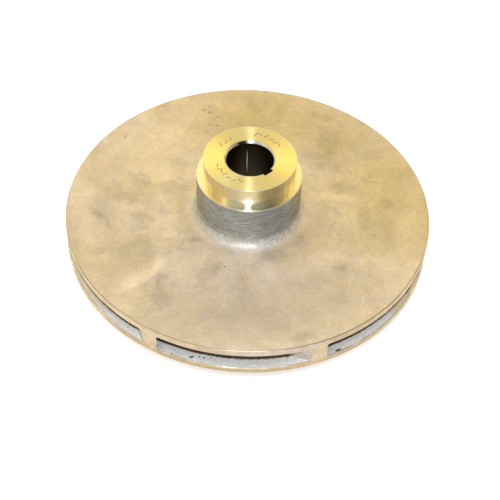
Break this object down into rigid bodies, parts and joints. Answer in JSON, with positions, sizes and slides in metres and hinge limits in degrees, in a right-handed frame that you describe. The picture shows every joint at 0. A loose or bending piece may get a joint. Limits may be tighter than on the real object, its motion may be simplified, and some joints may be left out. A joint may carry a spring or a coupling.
{
  "type": "pump impeller",
  "caption": "Closed centrifugal pump impeller: swept vanes between shrouds, a stepped hub with a keyed through bore, and a turned suction eye.",
  "frame": {"origin": "on the shaft axis, in the plane of the suction eye's lowest face, at the bottom centre of the bounding box", "axes": "+Z along the shaft axis, out of the hub; +X through the middle of the keyway; +Y completes a right-handed set"},
  "size_m": [0.324, 0.324, 0.1183],
  "materials": {
    "shroud_metal": "hand-ground stainless steel with a straw tint, satin, faint scratches and small pits",
    "hub_metal": "lathe-turned stainless steel, bright, with fine turning lines",
    "fillet_metal": "rough silvery bead, shot-blasted",
    "passage_metal": "blasted cast surface with dark specks, ground flush at the rim",
    "eye_metal": "lathe-turned running ring"
  },
  "bodies": {
    "root": {"hub": "hub_metal", "hub_fillet": "fillet_metal", "back_shroud": "shroud_metal", "front_shroud": "shroud_metal", "suction_eye": "eye_metal", "vane_1": "passage_metal", "vane_2": "passage_metal", "vane_3": "passage_metal", "vane_4": "passage_metal", "vane_5": "passage_metal", "vane_6": "passage_metal", "vane_7": "passage_metal"}
  },
  "joints": []
}
